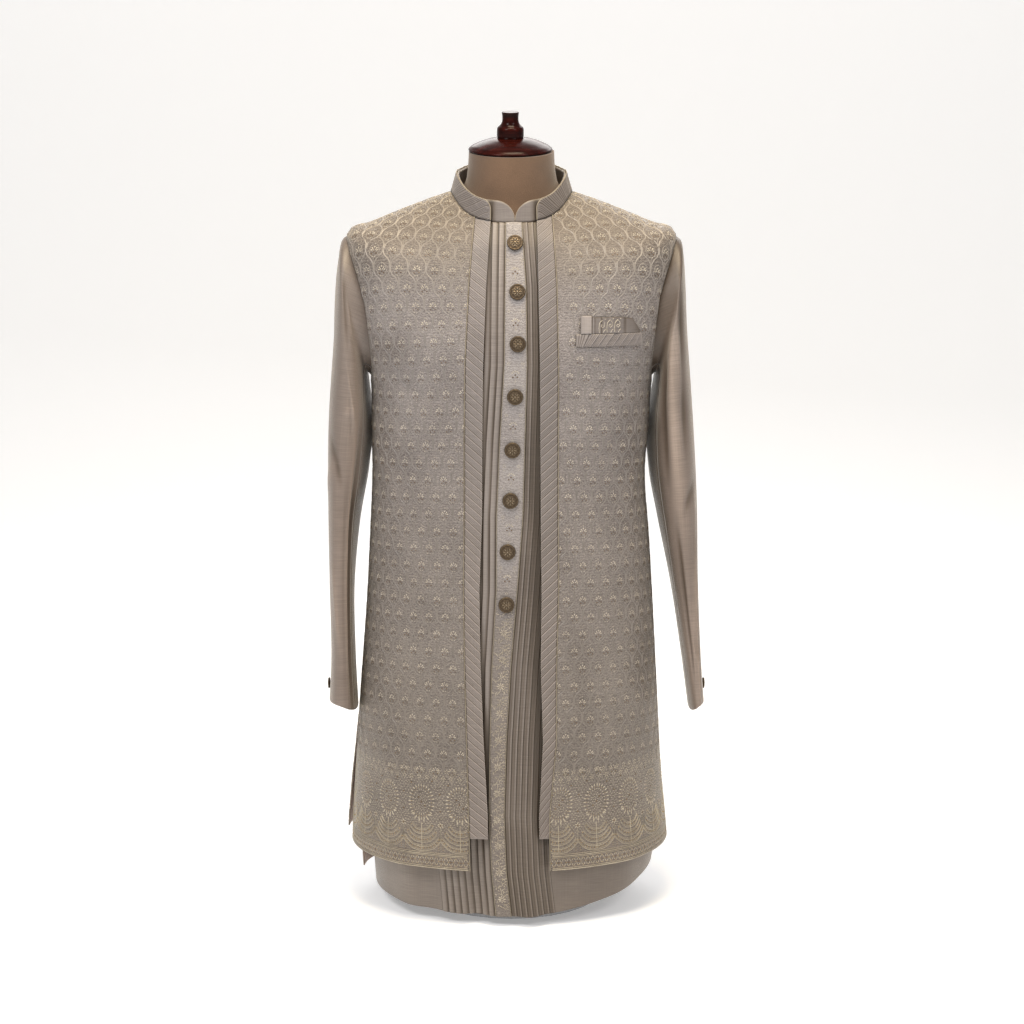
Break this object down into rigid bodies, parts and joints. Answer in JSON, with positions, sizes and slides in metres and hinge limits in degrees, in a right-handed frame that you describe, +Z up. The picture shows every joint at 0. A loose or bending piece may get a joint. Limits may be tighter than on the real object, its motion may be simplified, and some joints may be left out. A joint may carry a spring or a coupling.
{
  "type": "sherwani coat on dress form",
  "caption": "Knee-length sherwani coat: sleeved silk under coat with buttoned placket and pin tucks, open embroidered sleeveless over coat, on a limbless dress form with base.",
  "frame": {"origin": "middle of the base plate's underside, on the surface that the part stands on", "axes": "+Z up, -Y towards the front of the coat, +X towards the wearer's left"},
  "size_m": [0.5177, 0.3144, 1.0776],
  "materials": {
    "silk": "satin taupe-grey silk",
    "tucked_silk": "satin taupe silk, pressed tucks",
    "embroidered_silk": "silk with beige thread embroidery and sequins",
    "antique_gold": "antique gold",
    "form_cloth": "matt jersey cover",
    "mahogany": "gloss lacquer",
    "steel": "satin"
  },
  "bodies": {
    "root": {"under_front_right": "silk", "under_front_left": "silk", "under_back": "silk", "placket": "embroidered_silk", "under_collar_right": "silk", "under_collar_left": "silk", "upper_sleeve_right": "silk", "upper_sleeve_left": "silk", "under_sleeve_right": "silk", "under_sleeve_left": "silk", "cuff_button_right": "antique_gold", "cuff_button_left": "antique_gold", "over_front_right": "embroidered_silk", "over_front_left": "embroidered_silk", "over_back": "embroidered_silk", "band_right": "tucked_silk", "band_left": "tucked_silk", "over_collar_right": "tucked_silk", "over_collar_left": "tucked_silk", "button_1": "antique_gold", "button_2": "antique_gold", "button_3": "antique_gold", "button_4": "antique_gold", "button_5": "antique_gold", "button_6": "antique_gold", "button_7": "antique_gold", "button_8": "antique_gold", "pocket_welt": "tucked_silk", "pocket_square": "silk", "form_torso": "form_cloth", "neck_cap": "mahogany", "finial": "mahogany", "base_plate": "steel", "pole": "steel"}
  },
  "joints": []
}
